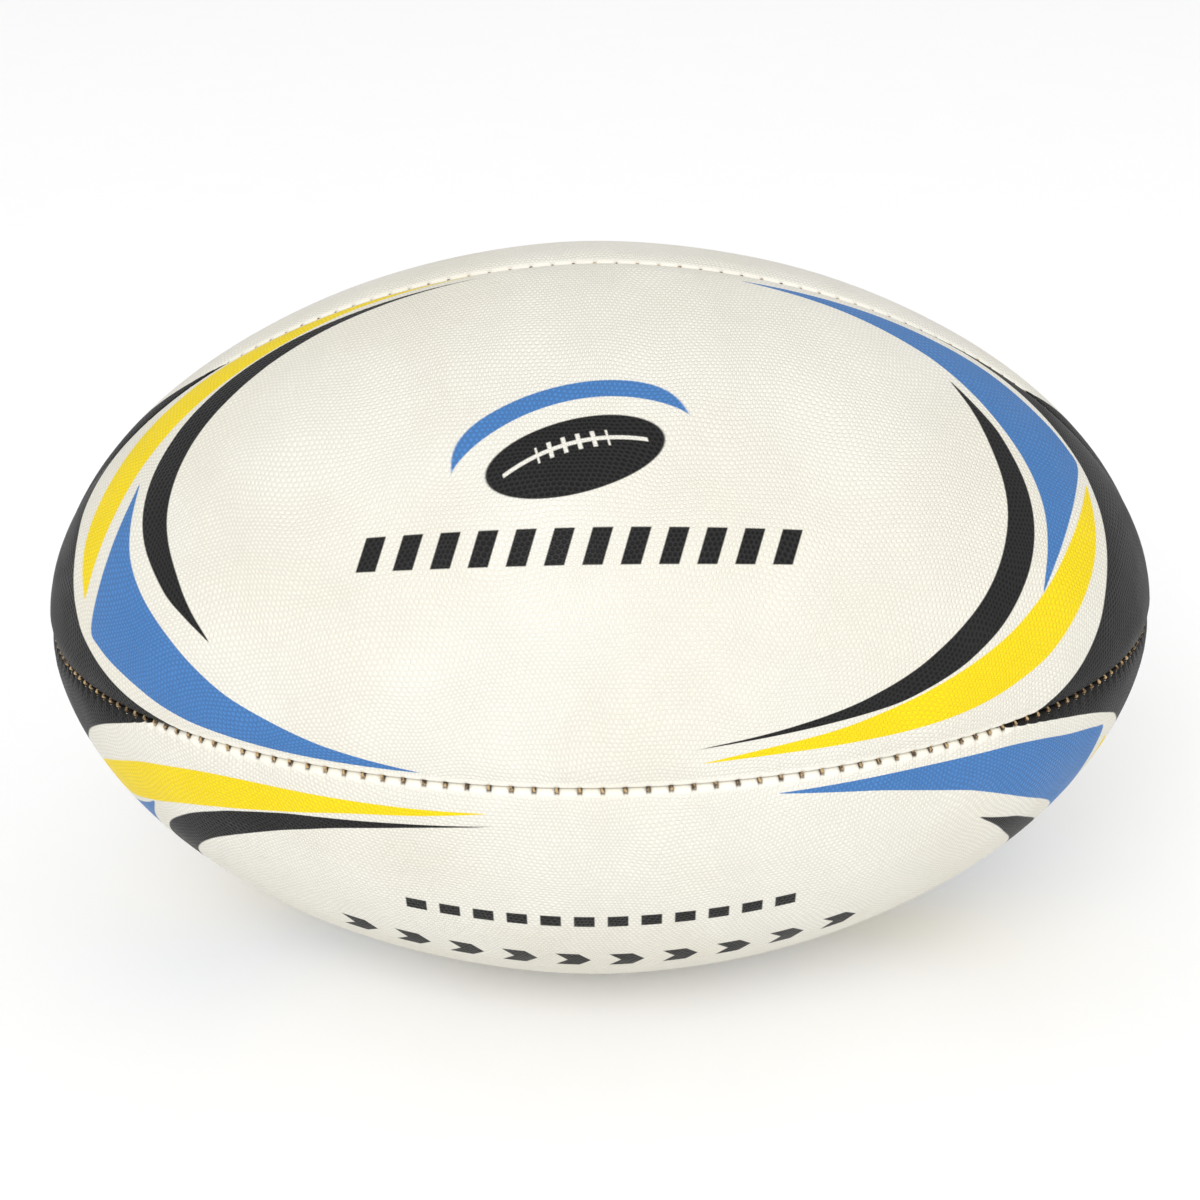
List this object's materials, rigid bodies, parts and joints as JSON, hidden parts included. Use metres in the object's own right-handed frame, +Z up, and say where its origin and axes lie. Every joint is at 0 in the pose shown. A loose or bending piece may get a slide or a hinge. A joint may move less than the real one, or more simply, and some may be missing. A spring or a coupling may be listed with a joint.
{
  "type": "rugby ball",
  "caption": "Stitched oval ball: pimpled rubber panels over cloth and a heavy rubber layer, an inflated bladder and a needle valve.",
  "frame": {"origin": "middle of the ball, on its long axis, half way between the tips", "axes": "+X along the ball's long axis from tip to tip, +Z up through the top seam, +Y to the back through the back seam; the valve is in the panel between them"},
  "size_m": [0.288, 0.1914, 0.1914],
  "materials": {
    "cover_rubber": "pimpled, satin",
    "backing_cloth": "woven polyester and cotton",
    "weight_rubber": "smooth, filled with mineral powder",
    "waxed_thread": "waxed, twisted",
    "bladder_rubber": "smooth",
    "valve_rubber": "moulded, satin",
    "core_rubber": "soft, satin"
  },
  "bodies": {
    "root": {"cover_panel_back_upper": "cover_rubber", "cover_panel_front_upper": "cover_rubber", "cover_panel_front_lower": "cover_rubber", "cover_panel_back_lower": "cover_rubber", "backing_cloth_1_back_upper": "backing_cloth", "backing_cloth_1_front_upper": "backing_cloth", "backing_cloth_1_front_lower": "backing_cloth", "backing_cloth_1_back_lower": "backing_cloth", "weight_sheet_back_upper": "weight_rubber", "weight_sheet_front_upper": "weight_rubber", "weight_sheet_front_lower": "weight_rubber", "weight_sheet_back_lower": "weight_rubber", "backing_cloth_2_back_upper": "backing_cloth", "backing_cloth_2_front_upper": "backing_cloth", "backing_cloth_2_front_lower": "backing_cloth", "backing_cloth_2_back_lower": "backing_cloth", "backing_cloth_3_back_upper": "backing_cloth", "backing_cloth_3_front_upper": "backing_cloth", "backing_cloth_3_front_lower": "backing_cloth", "backing_cloth_3_back_lower": "backing_cloth", "seam_thread_back": "waxed_thread", "seam_thread_top": "waxed_thread", "seam_thread_front": "waxed_thread", "seam_thread_bottom": "waxed_thread", "bladder": "bladder_rubber", "valve_body": "valve_rubber", "valve_core": "core_rubber", "valve_patch": "bladder_rubber", "valve_hole_ring": "backing_cloth"}
  },
  "joints": []
}
